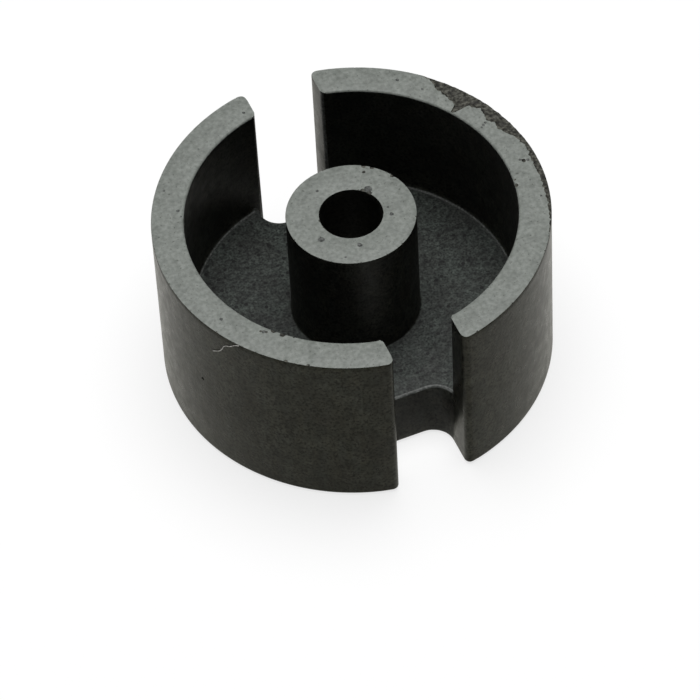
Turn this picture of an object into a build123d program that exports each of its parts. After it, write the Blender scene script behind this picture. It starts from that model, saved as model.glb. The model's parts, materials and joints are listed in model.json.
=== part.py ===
from build123d import *
from math import cos, hypot, radians, sin, sqrt
import os

# Half pot core, pressed from ferrite powder and sintered in one piece: a round cup with a hollow
# centre post, two cable slots opposite each other through the wall, and a notch in the base under each.
# Inside the cup each notch flares a little towards the floor, as the press tool needs to draw out.
# The origin is at the middle of the base. +Z runs along the post to the open, ground face.
# The slots lie along Y.

# Driving dimensions of the core, in millimetres
outer_diameter = 7.25
height = 3.60
wall = 0.595
floor_thickness = 1.10
post_diameter = 2.38
bore_diameter = 1.16

# Cable slots: their width, how far the notch under each runs into the base, and the notch's corners
slot_width = 1.31
notch_depth = 1.10
notch_corner_radius = 0.41

# Flare of the notches inside the cup: how far it spreads at the floor, its corners there, and the
# height over the base where it starts
notch_flare = 0.12
flare_corner_radius = 0.40
flare_start = 0.20

# Edges and corners left by the press tool and by tumbling
floor_fillet_radius = 0.08
post_foot_radius = 0.08
slot_outer_edge_radius = 0.13
slot_inner_edge_radius = 0.09
base_edge_radius = 0.08

# How far a cutter runs past the faces that it cuts
cut_overrun = 0.50

# Chips along the outer edge of the rim. Each row has the place on the rim in degrees from +X, then how
# far the chip runs in across the wall and its half length along the rim, both as shares of the wall.
chip_shares = [
    (36.0, 0.62, 0.76),
    (24.0, 0.34, 0.50),
    (15.0, 0.44, 0.68),
    (6.5, 0.18, 0.36),
    (-5.0, 0.20, 0.68),
    (-17.0, 0.13, 0.95),
]
# Height of a chip's centre over the rim, as a share of its radius on the rim: more is shallower
chip_lift_share = 2.4

# An edge's rounding takes at most this share of the thinnest section that carries it, and a notch's
# corner at most this share of half the slot or of the notch's run inside the cup
edge_limit_share = 0.30
notch_corner_limit_share = 0.96
# Edges are found to within this share of the largest rounding
finding_share = 0.10

outer_radius = outer_diameter / 2
cup_radius = outer_radius - wall
post_radius = post_diameter / 2
bore_radius = bore_diameter / 2
slot_side = slot_width / 2
# Distances along the slot from the axis: the notch's end, and the slot's inner edges on the wall
notch_end = outer_radius - notch_depth
slot_inner_edge = sqrt(cup_radius ** 2 - slot_side ** 2)
notch_corner_limit = notch_corner_limit_share * min(slot_side, slot_inner_edge - notch_end)
edge_limit = edge_limit_share * min(wall, floor_thickness, slot_side)
finding_distance = finding_share * edge_limit


def turned_cup():
    """Base, wall, post and bore as one half section, turned about the core's axis."""
    outline = Polyline(
        (bore_radius, 0),
        (outer_radius, 0),
        (outer_radius, height),
        (cup_radius, height),
        (cup_radius, floor_thickness),
        (post_radius, floor_thickness),
        (post_radius, height),
        (bore_radius, height),
        close=True,
    )
    section = make_face(outline)
    post_foot = Vector(post_radius, floor_thickness)
    wall_foot = Vector(cup_radius, floor_thickness)
    for corner, radius in ((post_foot, post_foot_radius), (wall_foot, floor_fillet_radius)):
        nearest = section.vertices().sort_by_distance(corner)[0]
        section = fillet(nearest, min(radius, edge_limit))
    return revolve(Plane.XZ * section, axis=Axis.Z)


def slot_cutter():
    """One slot seen from above: straight sides, and a round-cornered end that notches the base."""
    length = outer_radius + cut_overrun - notch_end
    plan = Pos(0, notch_end + length / 2) * Rectangle(slot_width, length)
    end_corners = plan.vertices().group_by(Axis.Y)[0]
    plan = fillet(end_corners, min(notch_corner_radius, notch_corner_limit))
    return Pos(0, 0, -cut_overrun) * extrude(plan, height + 2 * cut_overrun)


def notch_flare_cutter():
    """The flare of one notch: its outline spreads evenly with height, and ends at the inside of the wall."""
    def outline(height_over_base, corner_radius):
        spread = notch_flare * (height_over_base - flare_start) / (floor_thickness - flare_start)
        length = cup_radius - notch_end + spread
        plan = Rectangle(2 * (slot_side + spread), length)
        plan = Pos(0, notch_end - spread + length / 2, height_over_base) * plan
        end_corners = plan.vertices().group_by(Axis.Y)[0]
        return fillet(end_corners, min(corner_radius, notch_corner_limit))
    over_floor = floor_thickness + floor_fillet_radius + cut_overrun
    flare = loft([outline(0, notch_corner_radius), outline(over_floor, flare_corner_radius)], ruled=True)
    inside_wall = Cylinder(cup_radius, over_floor, align=(Align.CENTER, Align.CENTER, Align.MIN))
    return flare & inside_wall


def slot_edges(core, radius):
    """The four upright edges where the slots' sides meet the wall at this radius."""
    def on_slot_side(edge):
        middle = edge.center()
        beside_slot = abs(abs(middle.X) - slot_side) < finding_distance
        return beside_slot and abs(hypot(middle.X, middle.Y) - radius) < finding_distance
    return core.edges().filter_by(Axis.Z).filter_by(on_slot_side)


def base_edges(core):
    """The lower outline of the base, in and out of both notches, without the bore."""
    def outside_post(edge):
        start = edge @ 0
        return hypot(start.X, start.Y) > post_radius
    return core.edges().group_by(Axis.Z)[0].filter_by(outside_post)


def chip_cutter(degrees, reach_share, half_length_share):
    """A shell-shaped chip: a ball that meets the rim in a circle through the chip's ends and innermost point."""
    reach = reach_share * wall
    half_length = half_length_share * wall
    circle_radius = (half_length ** 2 + reach ** 2) / (2 * reach)
    lift = chip_lift_share * circle_radius
    ball_radius = sqrt(circle_radius ** 2 + lift ** 2)
    from_axis = outer_radius - reach + circle_radius
    angle = radians(degrees)
    return Pos(from_axis * cos(angle), from_axis * sin(angle), height + lift) * Sphere(ball_radius)


core = turned_cup()
slot = slot_cutter()
core -= slot
core -= Rot(0, 0, 180) * slot
core = fillet(slot_edges(core, outer_radius), min(slot_outer_edge_radius, edge_limit))
# This rounding runs on along the lip of the floor, where the flare then cuts it back to a crisp edge
core = fillet(slot_edges(core, cup_radius), min(slot_inner_edge_radius, edge_limit))
core = fillet(base_edges(core), min(base_edge_radius, edge_limit))
flare = notch_flare_cutter()
core -= flare
core -= Rot(0, 0, 180) * flare
for row in chip_shares:
    core -= chip_cutter(*row)

os.makedirs("parts", exist_ok=True)
export_step(core, "parts/half_pot_core.step")
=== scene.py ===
import json
import math
import random

import bmesh
import bpy
from mathutils import Matrix, Vector, noise


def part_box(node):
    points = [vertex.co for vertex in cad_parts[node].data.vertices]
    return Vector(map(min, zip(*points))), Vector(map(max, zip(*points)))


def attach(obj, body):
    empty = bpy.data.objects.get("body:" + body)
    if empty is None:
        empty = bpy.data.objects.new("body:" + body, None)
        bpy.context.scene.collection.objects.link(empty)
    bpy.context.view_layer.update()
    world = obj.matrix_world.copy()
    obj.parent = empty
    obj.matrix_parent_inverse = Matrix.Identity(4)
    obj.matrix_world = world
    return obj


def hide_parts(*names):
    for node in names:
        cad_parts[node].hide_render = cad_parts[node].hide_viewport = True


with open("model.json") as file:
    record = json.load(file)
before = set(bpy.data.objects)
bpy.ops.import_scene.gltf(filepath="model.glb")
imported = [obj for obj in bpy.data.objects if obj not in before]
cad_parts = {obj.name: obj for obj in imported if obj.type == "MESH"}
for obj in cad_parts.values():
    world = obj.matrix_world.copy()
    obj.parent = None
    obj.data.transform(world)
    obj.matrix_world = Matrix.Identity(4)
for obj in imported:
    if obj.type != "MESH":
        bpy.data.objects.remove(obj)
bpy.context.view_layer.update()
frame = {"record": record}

# Ferrite core: a round cup with a hollow post in the middle, pressed from powder in one stroke and
# sintered. It is shaped here from one round blank, in millimetres, and set to metres when it is done.
millimetre = 0.001
mount_sizes = {mount["name"]: mount["dims"] for mount in frame["record"]["mounts"]}
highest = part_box("half_pot_core")[1] / millimetre
outer_radius = highest.x
height = highest.z
wall = 0.595
floor_height = 1.10
cup_radius = outer_radius - wall
post_radius = mount_sizes["coil_post"]["r_mm"]
bore_radius = mount_sizes["centre_bore"]["r_mm"]
facets_round = 240
# Faces and edges are found to within a few times this distance
nearly = 0.002
# A face whose normal has this much of a direction faces that way
mostly = 0.9


def select(kind, test):
    """Selects the faces or edges in edit mode that pass a test, and no others."""
    bpy.ops.mesh.select_mode(type=kind)
    bpy.ops.mesh.select_all(action="DESELECT")
    data = bpy.context.edit_object.data
    mesh = bmesh.from_edit_mesh(data)
    for item in mesh.faces if kind == "FACE" else mesh.edges:
        if test(item):
            item.select_set(True)
    bmesh.update_edit_mesh(data)


def extrude_up(distance):
    bpy.ops.mesh.extrude_region_move(TRANSFORM_OT_translate={"value": (0, 0, distance)})


def faces_up(face):
    return face.normal.z > mostly


def faces_down(face):
    return face.normal.z < -mostly


def over_bore(face):
    level = faces_up(face) or faces_down(face)
    return level and max(v.co.xy.length for v in face.verts) < bore_radius + nearly


bpy.ops.object.select_all(action="DESELECT")
bpy.ops.mesh.primitive_cylinder_add(
    vertices=facets_round, radius=outer_radius, depth=height, location=(0, 0, height / 2)
)
core = bpy.context.object
core.name = "ferrite_core"
bpy.ops.object.transform_apply(location=True, rotation=True, scale=True)
bpy.ops.object.mode_set(mode="EDIT")
select("FACE", faces_up)
bpy.ops.mesh.inset(thickness=wall)
extrude_up(floor_height - height)
bpy.ops.mesh.inset(thickness=cup_radius - post_radius)
extrude_up(height - floor_height)
bpy.ops.mesh.inset(thickness=post_radius - bore_radius)
select("FACE", faces_down)
bpy.ops.mesh.inset(thickness=outer_radius - bore_radius)
select("FACE", over_bore)
bpy.ops.mesh.bridge_edge_loops()
bpy.ops.object.mode_set(mode="OBJECT")

# Cable slots of the core: two, opposite each other, straight through the wall. Each runs on through the
# base as a round-cornered notch, which spreads a little towards the floor so that the press tool draws out.
slot_width = 1.31
slot_side = slot_width / 2
notch_depth = 1.10
notch_end = outer_radius - notch_depth
notch_corner = 0.41
flare = 0.12
flare_start = 0.20
flare_corner = 0.40
corner_steps = 12
overrun = 0.5
slot_length = outer_radius + overrun - notch_end
# The flare's cutter stands this far past the floor and the wall, so that no film is left there
skim = nearly / 4
# A face whose normal is upright to this share counts as flat
flat_share = 0.999


def cut(piece, cutter, operation="DIFFERENCE"):
    """Takes the cutter's shape out of the piece, or keeps what they share."""
    modifier = piece.modifiers.new("cut", "BOOLEAN")
    modifier.operation = operation
    modifier.solver = "MANIFOLD"
    modifier.material_mode = "TRANSFER"
    modifier.object = cutter
    bpy.context.view_layer.objects.active = piece
    bpy.ops.object.modifier_apply(modifier=modifier.name)
    bpy.data.objects.remove(cutter)


def round_edges(test, radius, steps):
    """Rounds the edges in edit mode that pass a test, in this many steps."""
    select("EDGE", test)
    bpy.ops.mesh.bevel(offset=radius, segments=steps, affect="EDGES")


def stands_upright(edge):
    low, high = edge.verts
    return (low.co.xy - high.co.xy).length < 2 * nearly and abs(low.co.z - high.co.z) > 5 * nearly


def lies_flat(face):
    return abs(face.normal.z) > flat_share


def slot_corner(edge):
    """Whether this is one of the slot cutter's two upright edges inside the core."""
    return stands_upright(edge) and abs(edge.verts[0].co.y) < outer_radius


def flare_slope(edge):
    """Whether this is one of the flare cutter's two sloping edges inside the cup."""
    low, high = edge.verts
    return abs(low.co.z - high.co.z) > nearly and abs(low.co.y) < cup_radius


for end in (1, -1):
    bpy.ops.object.select_all(action="DESELECT")
    bpy.ops.mesh.primitive_cube_add(
        size=1,
        location=(0, end * (notch_end + slot_length / 2), height / 2),
        scale=(2 * slot_side, slot_length, height + 2 * overrun),
    )
    slot_cutter = bpy.context.object
    bpy.ops.object.transform_apply(location=True, rotation=True, scale=True)
    bpy.ops.object.mode_set(mode="EDIT")
    round_edges(slot_corner, notch_corner, corner_steps)
    bpy.ops.object.mode_set(mode="OBJECT")
    cut(core, slot_cutter)

    bpy.ops.object.select_all(action="DESELECT")
    bpy.ops.mesh.primitive_cube_add(size=1)
    flare_cutter = bpy.context.object
    for vertex in flare_cutter.data.vertices:
        level = floor_height + skim if vertex.co.z > 0 else 0
        spread = flare * (level - flare_start) / (floor_height - flare_start)
        along = outer_radius if vertex.co.y * end > 0 else notch_end - spread
        vertex.co = (math.copysign(slot_side + spread, vertex.co.x), end * along, level)
    bpy.ops.object.mode_set(mode="EDIT")
    round_edges(flare_slope, flare_corner, corner_steps)
    bpy.ops.object.mode_set(mode="OBJECT")
    bpy.ops.object.select_all(action="DESELECT")
    bpy.ops.mesh.primitive_cylinder_add(vertices=facets_round, radius=cup_radius + skim, depth=4 * height)
    cut(flare_cutter, bpy.context.object, operation="INTERSECT")
    cut(core, flare_cutter)

# Edges of the core: rounded by the press tool and by tumbling, only just broken at the lips of the
# notches and at the ground faces. The flat faces are first joined up across their facets, and upright
# lines too close to a slot are taken out, to leave the roundings room.
slot_outer_rounding = 0.15
slot_inner_rounding = 0.09
floor_rounding = 0.08
post_foot_rounding = 0.03
base_rounding = 0.08
lip_break = 0.055
ground_edge_break = 0.018
rim_inner_break = 0.045
joined_up_to = math.radians(0.5)
# Angles round the axis, in degrees: a facet, the room kept beside a slot's edge, and the edge's own line
facet = 360 / facets_round
slot_room = 2.4 * facet
own_line = 0.02


def crowds_slot(edge):
    """Whether an upright line of the wall stands in the room beside a slot's edge."""
    vertex = edge.verts[0].co
    from_slot = math.degrees(math.atan2(abs(vertex.x), abs(vertex.y)))
    for radius in (outer_radius, cup_radius):
        edge_angle = math.degrees(math.asin(slot_side / radius))
        if stands_upright(edge) and abs(vertex.xy.length - radius) < 5 * nearly:
            return edge_angle + own_line < from_slot < edge_angle + slot_room
    return False


def slot_edge(radius):
    """The upright edges where the slots' sides meet the wall at this radius."""
    def test(edge):
        vertex = edge.verts[0].co
        beside_slot = abs(abs(vertex.x) - slot_side) < 2 * nearly
        return stands_upright(edge) and beside_slot and abs(vertex.xy.length - radius) < 5 * nearly
    return test


def outline_at(level, smallest_radius, largest_radius):
    """Edges at this height where a flat face meets a side, between two radii."""
    def test(edge):
        for v in edge.verts:
            if abs(v.co.z - level) > 2 * nearly or not smallest_radius < v.co.xy.length < largest_radius:
                return False
        flats = [lies_flat(face) for face in edge.link_faces]
        return any(flats) and not all(flats)
    return test


def round_line(level, radius):
    """The part of the outline at this height that runs round the axis at one radius."""
    return outline_at(level, radius - 5 * nearly, radius + 5 * nearly)


base_outline = outline_at(0, post_radius, 2 * outer_radius)
notch_lips = outline_at(floor_height, 1.5 * post_radius, cup_radius - 2 * floor_rounding)
post_end_outline = outline_at(height, 0, post_radius + nearly)
rim_outline = outline_at(height, cup_radius + 2 * rim_inner_break, 2 * outer_radius)

bpy.ops.object.mode_set(mode="EDIT")
bpy.ops.mesh.select_all(action="SELECT")
bpy.ops.mesh.remove_doubles(threshold=2 * nearly)
bpy.ops.mesh.dissolve_limited(angle_limit=joined_up_to)
select("EDGE", crowds_slot)
bpy.ops.mesh.dissolve_edges(use_verts=True)
round_edges(slot_edge(outer_radius), slot_outer_rounding, steps=6)
round_edges(slot_edge(cup_radius), slot_inner_rounding, steps=6)
round_edges(round_line(floor_height, cup_radius), floor_rounding, steps=4)
round_edges(round_line(floor_height, post_radius), post_foot_rounding, steps=3)
round_edges(base_outline, base_rounding, steps=4)
round_edges(notch_lips, lip_break, steps=3)
round_edges(round_line(height, cup_radius), rim_inner_break, steps=4)
round_edges(post_end_outline, ground_edge_break, steps=2)
round_edges(rim_outline, ground_edge_break, steps=2)
select("FACE", lies_flat)
bpy.ops.mesh.quads_convert_to_tris(quad_method="BEAUTY", ngon_method="BEAUTY")
bpy.ops.object.mode_set(mode="OBJECT")

# Surfaces of the core: the fired skin is dark grey, with a fine grain, pores, stains and faint upright
# streaks, and its inner sides are painted a little darker than its outer ones as painted shade in the cup.
# The rim and the end of the post are ground, so lighter and finely mottled. A lighter finish marks small
# pits worn smooth, and is also painted along rounded edges as a painted highlight where they would catch
# the lamp. Broken ferrite is dark and rough.
skin_gloss_patch = 0.20
# A grain pattern lies mostly between these two values
grain_low = 0.36
grain_high = 0.64


def grain(material, size, detail=3.0, stretch=1.0):
    """A cloudy pattern of about this grain size in millimetres, drawn out upwards if need be."""
    nodes, links = material.node_tree.nodes, material.node_tree.links
    place = nodes.new("ShaderNodeTexCoord")
    spread = nodes.new("ShaderNodeMapping")
    spread.inputs["Scale"].default_value = (1, 1, 1 / stretch)
    pattern = nodes.new("ShaderNodeTexNoise")
    pattern.inputs["Scale"].default_value = 1 / (size * millimetre)
    pattern.inputs["Detail"].default_value = detail
    links.new(place.outputs["Object"], spread.inputs["Vector"])
    links.new(spread.outputs["Vector"], pattern.inputs["Vector"])
    return pattern.outputs["Fac"]


def specks(material, spacing):
    """A pattern of points about this far apart in millimetres: 0 on a point and more away from it."""
    nodes, links = material.node_tree.nodes, material.node_tree.links
    place = nodes.new("ShaderNodeTexCoord")
    pattern = nodes.new("ShaderNodeTexVoronoi")
    pattern.inputs["Scale"].default_value = 1 / (spacing * millimetre)
    links.new(place.outputs["Object"], pattern.inputs["Vector"])
    return pattern.outputs["Distance"]


def tones(material, pattern, *stops):
    """Turns a pattern into colours: each stop is a place in the pattern and a colour."""
    nodes, links = material.node_tree.nodes, material.node_tree.links
    ramp = nodes.new("ShaderNodeValToRGB")
    elements = ramp.color_ramp.elements
    while len(elements) < len(stops):
        elements.new(1)
    for element, (position, colour) in zip(elements, stops):
        element.position = position
        element.color = (*colour, 1)
    links.new(pattern, ramp.inputs["Fac"])
    return ramp.outputs["Color"]


def blend(material, way, share, below, above):
    """Lays one colour over another: the share is a number, or a pattern."""
    nodes, links = material.node_tree.nodes, material.node_tree.links
    mix = nodes.new("ShaderNodeMix")
    mix.data_type = "RGBA"
    mix.blend_type = way
    if isinstance(share, bpy.types.NodeSocket):
        links.new(share, mix.inputs["Factor"])
    else:
        mix.inputs["Factor"].default_value = share
    links.new(below, mix.inputs["A"])
    links.new(above, mix.inputs["B"])
    return mix.outputs["Result"]


def surface(name, smoothest, roughest, patch, ior=1.28):
    """A new material whose roughness wanders between two values, in patches of this size."""
    material = bpy.data.materials.new(name)
    material.use_nodes = True
    nodes, links = material.node_tree.nodes, material.node_tree.links
    shader = nodes["Principled BSDF"]
    shader.inputs["IOR"].default_value = ior
    gloss = nodes.new("ShaderNodeMapRange")
    gloss.inputs["From Min"].default_value = grain_low
    gloss.inputs["From Max"].default_value = grain_high
    gloss.inputs["To Min"].default_value = smoothest
    gloss.inputs["To Max"].default_value = roughest
    links.new(grain(material, patch, detail=4), gloss.inputs["Value"])
    links.new(gloss.outputs["Result"], shader.inputs["Roughness"])
    return material


def finish_surface(material, colour, relief, relief_height):
    """Gives the shader its colour, and a relief of this height in millimetres."""
    nodes, links = material.node_tree.nodes, material.node_tree.links
    shader = nodes["Principled BSDF"]
    links.new(colour, shader.inputs["Base Color"])
    bump = nodes.new("ShaderNodeBump")
    bump.inputs["Distance"].default_value = relief_height * millimetre
    links.new(relief, bump.inputs["Height"])
    links.new(bump.outputs["Normal"], shader.inputs["Normal"])


def uprightness(material):
    """1 on upright faces, falling to 0 on level ones."""
    nodes, links = material.node_tree.nodes, material.node_tree.links
    place = nodes.new("ShaderNodeTexCoord")
    parts = nodes.new("ShaderNodeSeparateXYZ")
    square = nodes.new("ShaderNodeMath")
    square.operation = "POWER"
    square.inputs[1].default_value = 2
    rest = nodes.new("ShaderNodeMath")
    rest.operation = "SUBTRACT"
    rest.inputs[0].default_value = 1
    links.new(place.outputs["Normal"], parts.inputs["Vector"])
    links.new(parts.outputs["Z"], square.inputs[0])
    links.new(square.outputs["Value"], rest.inputs[1])
    return rest.outputs["Value"]


def fired_skin(name, smoothest, roughest, ior, depth, relief):
    """Skin as it comes from the kiln: greenish where the punch pressed, warmer where the sides drew out.

    The depth is how light the drawn sides are.
    """
    skin = surface(name, smoothest, roughest, skin_gloss_patch, ior)
    pores = tones(skin, specks(skin, spacing=0.20), (0.16, (0.10, 0.10, 0.10)), (0.21, (1.0, 1.0, 1.0)))
    pressed = tones(
        skin, grain(skin, size=0.042, detail=5),
        (0.35, (0.0030, 0.0038, 0.0035)), (0.46, (0.019, 0.0228, 0.0207)), (0.70, (0.043, 0.0499, 0.0462)),
    )
    patches = tones(
        skin, grain(skin, size=0.11, detail=2), (0.36, (0.50, 0.50, 0.49)), (0.64, (1.36, 1.36, 1.33)),
    )
    pressed = blend(skin, "MULTIPLY", 1, pressed, patches)
    pressed = blend(skin, "MULTIPLY", 1, pressed, pores)
    drawn = tones(
        skin, grain(skin, size=0.05, detail=4),
        (0.37, (0.10 * depth, 0.11 * depth, 0.09 * depth)), (0.47, (0.96 * depth, depth, 0.82 * depth)),
        (0.68, (1.6 * depth, 1.68 * depth, 1.42 * depth)),
    )
    streaks = tones(
        skin, grain(skin, size=0.12, detail=2, stretch=6),
        (0.38, (1.0, 1.0, 1.0)), (0.62, (0.90, 0.86, 0.79)),
    )
    stains = tones(
        skin, grain(skin, size=0.24, detail=4), (0.38, (0.72, 0.75, 0.76)), (0.62, (1.25, 1.23, 1.21)),
    )
    drawn = blend(skin, "MULTIPLY", 1, drawn, streaks)
    drawn = blend(skin, "MULTIPLY", 0.65, drawn, pores)
    drawn = blend(skin, "MULTIPLY", 1, drawn, stains)
    clouds = tones(
        skin, grain(skin, size=0.6), (0.35, (0.78, 0.75, 0.74)), (0.65, (1.13, 1.16, 1.13)),
    )
    colour = blend(skin, "MIX", uprightness(skin), pressed, drawn)
    colour = blend(skin, "MULTIPLY", 1, colour, clouds)
    finish_surface(skin, colour, grain(skin, size=0.07, detail=4), relief)
    return skin


outer_skin = fired_skin(
    "fired_outer_skin", smoothest=0.27, roughest=0.35, ior=1.19, depth=0.0215, relief=0.003
)
outer_shader = outer_skin.node_tree.nodes["Principled BSDF"]
outer_shader.inputs["Specular Tint"].default_value = (1.0, 0.98, 0.70, 1)
# The inner skin's upright sides are painted darker than the outer skin's: painted shade inside the cup
inner_skin = fired_skin(
    "fired_inner_skin", smoothest=0.47, roughest=0.57, ior=1.28, depth=0.017, relief=0.005
)

ground = surface("ground_ferrite", smoothest=0.40, roughest=0.50, patch=0.15)
polish = tones(
    ground, grain(ground, size=0.08, detail=4),
    (0.32, (0.145, 0.158, 0.143)), (0.50, (0.182, 0.196, 0.180)), (0.68, (0.222, 0.236, 0.219)),
)
ground_pores = tones(
    ground, grain(ground, size=0.05, detail=1), (0.24, (0.55, 0.55, 0.53)), (0.36, (1.0, 1.0, 1.0)),
)
smears = tones(
    ground, grain(ground, size=0.3), (0.36, (0.90, 0.90, 0.90)), (0.58, (1.04, 1.04, 1.04)),
)
polish = blend(ground, "MULTIPLY", 1, polish, ground_pores)
polish = blend(ground, "MULTIPLY", 1, polish, smears)
finish_surface(ground, polish, grain(ground, size=0.045, detail=1), relief_height=0.002)

# Lighter bare ferrite: the colour of small pits worn smooth, and a painted highlight on the rounded edges
# that finish_of gives it
rubbed_and_highlit = surface("rubbed_and_highlit_ferrite", smoothest=0.40, roughest=0.50, patch=0.10)
bare_and_highlight = tones(
    rubbed_and_highlit, grain(rubbed_and_highlit, size=0.05),
    (0.36, (0.040, 0.043, 0.040)), (0.52, (0.070, 0.074, 0.070)), (0.70, (0.120, 0.125, 0.120)),
)
finish_surface(rubbed_and_highlit, bare_and_highlight, grain(rubbed_and_highlit, size=0.05), relief_height=0.004)

broken = surface("broken_ferrite", smoothest=0.54, roughest=0.70, patch=0.08)
fracture = tones(
    broken, grain(broken, size=0.07, detail=6),
    (0.36, (0.011, 0.011, 0.009)), (0.50, (0.038, 0.038, 0.031)), (0.66, (0.105, 0.104, 0.088)),
)
finish_surface(broken, fracture, grain(broken, size=0.06, detail=5), relief_height=0.016)

finishes = [outer_skin, inner_skin, ground, rubbed_and_highlit]
# Shares of a normal: a rounding leans up by between the first two, and the third is well over to a side
least_lean = 0.15
most_lean = 0.97
well_over = 0.5
# Half the height of the painted highlight line at the wall's foot, and the X from which the notches' lips
# carry a painted highlight
foot_highlight_line = 0.45 * floor_rounding
highlit_lip_start = -0.1


def finish_of(face):
    """The finish of a face of the core, by its place and the way that it faces."""
    place, normal = face.center, face.normal
    from_axis = place.xy.length
    leans = least_lean < normal.z < most_lean
    by_slot = abs(place.x) < slot_side + 2 * slot_inner_rounding
    by_floor = abs(place.z - floor_height) < foot_highlight_line
    at_wall_foot = by_floor and not by_slot and from_axis > cup_radius - 2 * floor_rounding
    at_lip = by_floor and by_slot and from_axis > 1.5 * post_radius and place.x > highlit_lip_start
    at_rim_edge = place.z > height - rim_inner_break and abs(from_axis - cup_radius) < rim_inner_break
    faces_askew = min(abs(normal.x), abs(normal.y)) > well_over
    at_slot_edge = faces_askew and by_slot and abs(from_axis - cup_radius) < slot_inner_rounding
    # The rim's inner rounding steps from the ground finish through the lighter finish to the skin: a
    # painted light line that fades off the edge
    if place.z > height - rim_inner_break / 2 and normal.z > well_over:
        return ground
    # Painted highlights: the lighter finish on the rim's inner rounding, along the wall's foot, on the lips
    # of the notches from one side only, and on the slots' inner edges
    if leans and (at_rim_edge or at_wall_foot or at_lip):
        return rubbed_and_highlit
    if at_slot_edge and place.z > floor_height:
        return rubbed_and_highlit
    if from_axis < cup_radius + nearly and place.z > base_rounding:
        return inner_skin
    return outer_skin


core.data.materials.clear()
for finish in finishes:
    core.data.materials.append(finish)
for face in core.data.polygons:
    face.material_index = finishes.index(finish_of(face))

# Wear of the core: a long shallow chip has broken from the outer edge of the rim, with one crack right
# across the wall. Pits, some worn smooth, a dotted hairline and small nicks mark the ground faces and
# their edges, and one pit marks the wall.
chance = random.Random(7)
# The chip: each row has degrees from +X, and the radius at which the rim breaks away there
chip_start = [
    (47, 3.635), (43, 3.56), (39, 3.39), (34.5, 3.31), (31, 3.25), (30.2, 3.06), (29.4, 3.03),
    (28.6, 3.12), (27.2, 3.36), (23.5, 3.44), (21.9, 3.42), (19.6, 3.355), (18.4, 3.31), (17.7, 3.34),
    (16.5, 3.405), (13.5, 3.35), (10.5, 3.41), (8, 3.48), (5, 3.52), (3, 3.55), (-1, 3.51), (-5.5, 3.50),
    (-10, 3.52), (-15, 3.535), (-19, 3.55), (-24, 3.575), (-31, 3.605), (-39, 3.635),
]
# Its depth, and the angle below which it has the smaller depth
chip_depth = 0.030
chip_change = 8
edge_chip_depth = 0.020
chip_steepness = 0.04
# Noises on the chip's outline, and on its depth: strength, grain, and a shift that sets the noise apart
outline_noises = [(0.03, 1.1, 0), (0.015, 0.4, 3)]
depth_noises = [(0.55, 0.11, 0), (0.35, 0.05, 5)]
# The chip's cutter: its steps, how far it runs inside the outline and past the wall, its rise, its height
chip_steps_along = 260
chip_steps_across = 18
chip_lead = 0.03
chip_overrun = 0.12
chip_lead_rise = 0.4
chip_cutter_height = 0.4
# Pits on the ground faces, worn smooth or broken: degrees from +X, distance from the axis, size
soft_pits = [
    (-155, 0.80, 0.06), (-25.5, 0.735, 0.045), (-101, 0.77, 0.05), (39, 0.665, 0.08), (114.5, 0.84, 0.03),
    (-118, 1.04, 0.025), (-11, 0.68, 0.025), (-2.4, 3.44, 0.035), (-1.5, 3.31, 0.03), (18.2, 3.27, 0.028),
    (17.8, 3.205, 0.026), (17.4, 3.14, 0.024), (52.5, 3.38, 0.035), (105, 3.22, 0.03), (146, 3.47, 0.028),
    (154, 3.14, 0.035), (156.5, 3.08, 0.025), (-156.5, 3.35, 0.035), (43.5, 3.30, 0.025),
    (-10.5, 3.33, 0.02), (-17.5, 3.46, 0.02), (-142.4, 3.142, 0.036),
]
soft_pit_depth_share = 0.3
pits = [
    (-2.2, 3.365, 0.045), (54, 1.03, 0.035), (-11.7, 3.05, 0.05), (-9.2, 3.06, 0.03),
    (-143.4, 3.158, 0.024), (-141.5, 3.128, 0.024), (-139.6, 3.04, 0.062), (-136.1, 3.035, 0.075),
    (-132.2, 3.045, 0.03), (-131.5, 3.615, 0.035), (-125, 3.615, 0.03),
    (56, 1.17, 0.045), (48, 1.17, 0.04), (27, 1.18, 0.05), (47, 0.59, 0.045), (33, 0.59, 0.05),
    (172, 0.58, 0.035),
]
pit_depth_share = 0.5
wall_pit = (-3.446, -1.125, 1.888)
wall_pit_size = 0.04
# Nicks along the edges of the ground faces: radius of the edge, number, smallest and largest size
nicked_edges = [
    (outer_radius, 46, 0.010, 0.030), (cup_radius, 40, 0.010, 0.032),
    (post_radius, 22, 0.008, 0.026), (bore_radius, 14, 0.008, 0.024),
]
nick_depth_share = 0.6
nick_scatter = 0.7
clear_of_slot = 1.2 * slot_side
# Every mark is cut with a lump: how uneven it is, its grain, what sets it apart, and how high it sits
lumpiness = 0.45
lump_grain = 0.8
lump_shift = 9
lump_rise_share = 0.15
# Lines round the wall, this far from the marks, keep the cuts' small triangles near them
mark_room = 0.12
smallest_edge = nearly / 4
smooth_up_to = math.radians(35)


def chip_radius(angle):
    """Radius at which the chip starts on the rim, at this angle from +X."""
    for (before, radius), (after, next_radius) in zip(chip_start, chip_start[1:]):
        if after <= angle <= before:
            return radius + (next_radius - radius) * (before - angle) / (before - after)
    return outer_radius


def rough(point, size):
    return noise.noise(Vector(point) / size)


def on_top(degrees, from_axis):
    angle = math.radians(degrees)
    return (from_axis * math.cos(angle), from_axis * math.sin(angle), height)


def dent(place, radius, depth):
    """A small uneven lump to cut with, centred on the surface that it marks."""
    bpy.ops.object.select_all(action="DESELECT")
    bpy.ops.mesh.primitive_ico_sphere_add(subdivisions=2, radius=1)
    lump = bpy.context.object
    for vertex in lump.data.vertices:
        swell = 1 + lumpiness * rough(vertex.co + lump_shift * Vector(place), lump_grain)
        vertex.co = Vector((vertex.co.x * radius, vertex.co.y * radius, vertex.co.z * depth)) * swell
        vertex.co += Vector(place) + Vector((0, 0, lump_rise_share * depth))
    return lump


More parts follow.
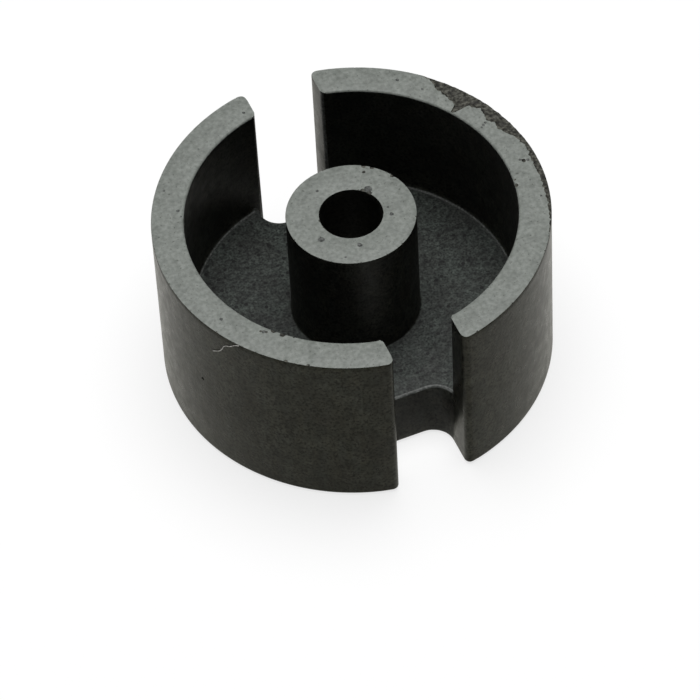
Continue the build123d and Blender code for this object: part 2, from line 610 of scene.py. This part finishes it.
def mark(finish, lumps):
    """Cuts the lumps, which lie clear of each other, out of the core in one go."""
    bpy.ops.object.select_all(action="DESELECT")
    for lump in lumps:
        lump.data.materials.append(finish)
        lump.select_set(True)
    bpy.context.view_layer.objects.active = lumps[0]
    bpy.ops.object.join()
    cut(core, lumps[0])


def between_finishes(edge):
    """Whether a ground or a broken face ends at this edge."""
    meeting = {core.data.materials[face.material_index] for face in edge.link_faces}
    return len(meeting) > 1 and not meeting.isdisjoint({ground, broken})


bpy.ops.object.select_all(action="DESELECT")
bpy.context.view_layer.objects.active = core
bpy.ops.object.mode_set(mode="EDIT")
for level in (height - mark_room, wall_pit[2] - mark_room, wall_pit[2] + mark_room):
    bpy.ops.mesh.select_all(action="SELECT")
    bpy.ops.mesh.bisect(plane_co=(0, 0, level), plane_no=(0, 0, 1))
bpy.ops.object.mode_set(mode="OBJECT")

bpy.ops.object.select_all(action="DESELECT")
bpy.ops.mesh.primitive_grid_add(x_subdivisions=chip_steps_along, y_subdivisions=chip_steps_across, size=2)
chip = bpy.context.object
first_angle, last_angle = chip_start[0][0], chip_start[-1][0]
for vertex in chip.data.vertices:
    angle = first_angle + (last_angle - first_angle) * (vertex.co.x + 1) / 2
    strays = (strength * rough((angle, shift, 0), size) for strength, size, shift in outline_noises)
    start = sum(strays, chip_radius(angle))
    radius = start - chip_lead + (outer_radius + chip_overrun - start) * (vertex.co.y + 1) / 2
    x, y = radius * math.cos(math.radians(angle)), radius * math.sin(math.radians(angle))
    inside = radius - start
    if inside < 0:
        level = height - chip_lead_rise * inside
    else:
        fall = 1 - math.exp(-inside / chip_steepness)
        swells = (strength * rough((x, y, shift), size) for strength, size, shift in depth_noises)
        deepest = chip_depth if angle > chip_change else edge_chip_depth
        level = height - deepest * fall * sum(swells, 1)
    vertex.co = (x, y, level)
bpy.ops.object.mode_set(mode="EDIT")
bpy.ops.mesh.select_all(action="SELECT")
extrude_up(chip_cutter_height)
bpy.ops.mesh.select_all(action="SELECT")
bpy.ops.mesh.normals_make_consistent(inside=False)
bpy.ops.object.mode_set(mode="OBJECT")
chip.data.materials.append(broken)
cut(core, chip)

mark(rubbed_and_highlit, [dent(on_top(*place), size, soft_pit_depth_share * size) for *place, size in soft_pits])
broken_pits = [dent(on_top(*place), size, pit_depth_share * size) for *place, size in pits]
mark(broken, broken_pits + [dent(wall_pit, wall_pit_size, wall_pit_size)])
nicks = []
for radius, count, smallest, largest in nicked_edges:
    for number in range(count):
        place = on_top(360 * (number + nick_scatter * chance.random()) / count, radius)
        size = smallest + (largest - smallest) * chance.random() ** 2
        if radius < cup_radius or abs(place[0]) > clear_of_slot:
            nicks.append(dent(place, size, nick_depth_share * size))
mark(broken, nicks)

bpy.ops.object.select_all(action="DESELECT")
core.select_set(True)
bpy.context.view_layer.objects.active = core
bpy.ops.object.mode_set(mode="EDIT")
bpy.ops.mesh.select_all(action="SELECT")
bpy.ops.mesh.dissolve_degenerate(threshold=smallest_edge)
bpy.ops.mesh.delete_loose()
bpy.ops.object.mode_set(mode="OBJECT")
core.scale = (millimetre, millimetre, millimetre)
bpy.ops.object.transform_apply(location=True, rotation=True, scale=True)
bpy.ops.object.shade_smooth_by_angle(angle=smooth_up_to)
bpy.ops.object.mode_set(mode="EDIT")
select("EDGE", between_finishes)
bpy.ops.mesh.mark_sharp()
bpy.ops.object.mode_set(mode="OBJECT")
modifier = core.modifiers.new("even_shading", "WEIGHTED_NORMAL")
modifier.keep_sharp = True
bpy.ops.object.modifier_apply(modifier=modifier.name)
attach(core, "root")
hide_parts("half_pot_core")

# Fibre: a strand of pale lint, caught on the outer edge of the rim and hanging down the wall. Its line is
# a smooth curve through a few places, given its thickness and then made a mesh.
fibre_thickness = 0.016
fibre_path = [
    (-3.325, -1.475, 3.01), (-3.27, -1.60, 3.10), (-3.225, -1.68, 3.20), (-3.20, -1.735, 3.35),
    (-3.17, -1.78, 3.40), (-3.125, -1.865, 3.44), (-3.06, -1.965, 3.56), (-3.015, -2.03, 3.59),
]
strand = bpy.data.curves.new("lint_fibre", "CURVE")
strand.dimensions = "3D"
strand.bevel_depth = fibre_thickness / 2
strand.bevel_resolution = 2
strand.use_fill_caps = True
line = strand.splines.new("NURBS")
line.points.add(len(fibre_path) - 1)
for point, place in zip(line.points, fibre_path):
    point.co = (*place, 1)
line.order_u = 3
line.use_endpoint_u = True
fibre = bpy.data.objects.new("lint_fibre", strand)
bpy.context.scene.collection.objects.link(fibre)
bpy.ops.object.select_all(action="DESELECT")
fibre.select_set(True)
bpy.context.view_layer.objects.active = fibre
bpy.ops.object.convert(target="MESH")
fibre = bpy.context.object
bpy.ops.object.mode_set(mode="EDIT")
bpy.ops.mesh.select_all(action="SELECT")
bpy.ops.mesh.remove_doubles(threshold=nearly / 10)
bpy.ops.mesh.normals_make_consistent(inside=False)
bpy.ops.object.mode_set(mode="OBJECT")
fibre.scale = (millimetre, millimetre, millimetre)
bpy.ops.object.transform_apply(location=True, rotation=True, scale=True)
bpy.ops.object.shade_smooth()
lint = surface("lint", smoothest=0.75, roughest=0.85, patch=0.05)
lint_tone = tones(lint, grain(lint, size=0.06), (0.4, (0.32, 0.31, 0.29)), (0.6, (0.52, 0.51, 0.48)))
finish_surface(lint, lint_tone, grain(lint, size=0.01), relief_height=0.001)
fibre.data.materials.append(lint)
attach(fibre, "root")

# Floor: a broad white sheet, a hair below the core so that the two share no plane. The camera sees it
# near white, with the core's shadow still on it, and reflections see it dimmer and a little warmer.
floor_size = 1.2
floor_gap = 0.01 * millimetre
sheet_colour = (0.93, 0.93, 0.93, 1)
sheet_roughness = 0.9
floor_whiteness = 0.75
reflected_whiteness = 0.48
reflected_colour = (1.0, 0.98, 0.86, 1)
bpy.ops.object.select_all(action="DESELECT")
bpy.ops.mesh.primitive_plane_add(size=floor_size, location=(0, 0, -floor_gap))
floor = bpy.context.object
floor.name = "floor"
white = bpy.data.materials.new("white_sheet")
white.use_nodes = True
nodes, links = white.node_tree.nodes, white.node_tree.links
nodes["Principled BSDF"].inputs["Base Color"].default_value = sheet_colour
nodes["Principled BSDF"].inputs["Roughness"].default_value = sheet_roughness
glow = nodes.new("ShaderNodeEmission")
rays = nodes.new("ShaderNodeLightPath")
glow_colour = nodes.new("ShaderNodeMix")
glow_colour.data_type = "RGBA"
glow_colour.inputs["A"].default_value = reflected_colour
glow_colour.inputs["B"].default_value = (1, 1, 1, 1)
links.new(rays.outputs["Is Camera Ray"], glow_colour.inputs["Factor"])
links.new(glow_colour.outputs["Result"], glow.inputs["Color"])
reflected = nodes.new("ShaderNodeMath")
reflected.operation = "MAXIMUM"
links.new(rays.outputs["Is Glossy Ray"], reflected.inputs[0])
links.new(rays.outputs["Is Transmission Ray"], reflected.inputs[1])
reflected_share = nodes.new("ShaderNodeMath")
reflected_share.operation = "MULTIPLY"
reflected_share.inputs[1].default_value = reflected_whiteness
links.new(reflected.outputs["Value"], reflected_share.inputs[0])
share = nodes.new("ShaderNodeMath")
share.operation = "MULTIPLY_ADD"
share.inputs[1].default_value = floor_whiteness
links.new(rays.outputs["Is Camera Ray"], share.inputs[0])
links.new(reflected_share.outputs["Value"], share.inputs[2])
sheet = nodes.new("ShaderNodeMixShader")
links.new(share.outputs["Value"], sheet.inputs["Fac"])
links.new(nodes["Principled BSDF"].outputs["BSDF"], sheet.inputs[1])
links.new(glow.outputs["Emission"], sheet.inputs[2])
links.new(sheet.outputs["Shader"], nodes["Material Output"].inputs["Surface"])
floor.data.materials.append(white)

# Light: one soft round lamp overhead, a little behind the core, and a trace of light from all round.
# Past the floor's edge the camera sees plain white.
lamp_size = 0.26
lamp_energy = 1.2
lamp_place = (0.02, 0.05, 0.30)
light_all_round = 0.02
lamp_data = bpy.data.lights.new("overhead", "AREA")
lamp_data.shape = "DISK"
lamp_data.size = lamp_size
lamp_data.energy = lamp_energy
lamp = bpy.data.objects.new("overhead", lamp_data)
lamp.location = lamp_place
bpy.context.scene.collection.objects.link(lamp)

world = bpy.data.worlds.new("studio")
bpy.context.scene.world = world
world.use_nodes = True
nodes, links = world.node_tree.nodes, world.node_tree.links
nodes["Background"].inputs["Color"].default_value = (1, 1, 1, 1)
rays = nodes.new("ShaderNodeLightPath")
strength = nodes.new("ShaderNodeMath")
strength.operation = "MAXIMUM"
strength.inputs[1].default_value = light_all_round
links.new(rays.outputs["Is Camera Ray"], strength.inputs[0])
links.new(strength.outputs["Value"], nodes["Background"].inputs["Strength"])

# Camera: a long lens looking down on the front slot, from a little to its left. It is tilted slightly,
# and moved aside a little to set the core in its place in the frame.
azimuth = math.radians(-20.36)
elevation = math.radians(50.15)
roll = math.radians(-3.3075)
distance = 0.09072
side_shift = -0.000152
rise = -0.000160
lens = 250.3
sensor_width = 36
nearest_view = 0.001
farthest_view = 10
back = Vector((
    math.sin(azimuth) * math.cos(elevation),
    -math.cos(azimuth) * math.cos(elevation),
    math.sin(elevation),
))
level_right = Vector((math.cos(azimuth), math.sin(azimuth), 0))
level_up = back.cross(level_right)
right = math.cos(roll) * level_right + math.sin(roll) * level_up
up = math.cos(roll) * level_up - math.sin(roll) * level_right
turn = Matrix((right, up, back)).transposed().to_4x4()
camera_data = bpy.data.cameras.new("camera")
camera_data.sensor_width = sensor_width
camera_data.lens = lens
camera_data.clip_start = nearest_view
camera_data.clip_end = farthest_view
camera = bpy.data.objects.new("camera", camera_data)
camera.matrix_world = Matrix.Translation(back * distance + right * side_shift + up * rise) @ turn
bpy.context.scene.collection.objects.link(camera)
bpy.context.scene.camera = camera
bpy.context.scene.view_settings.view_transform = "Standard"
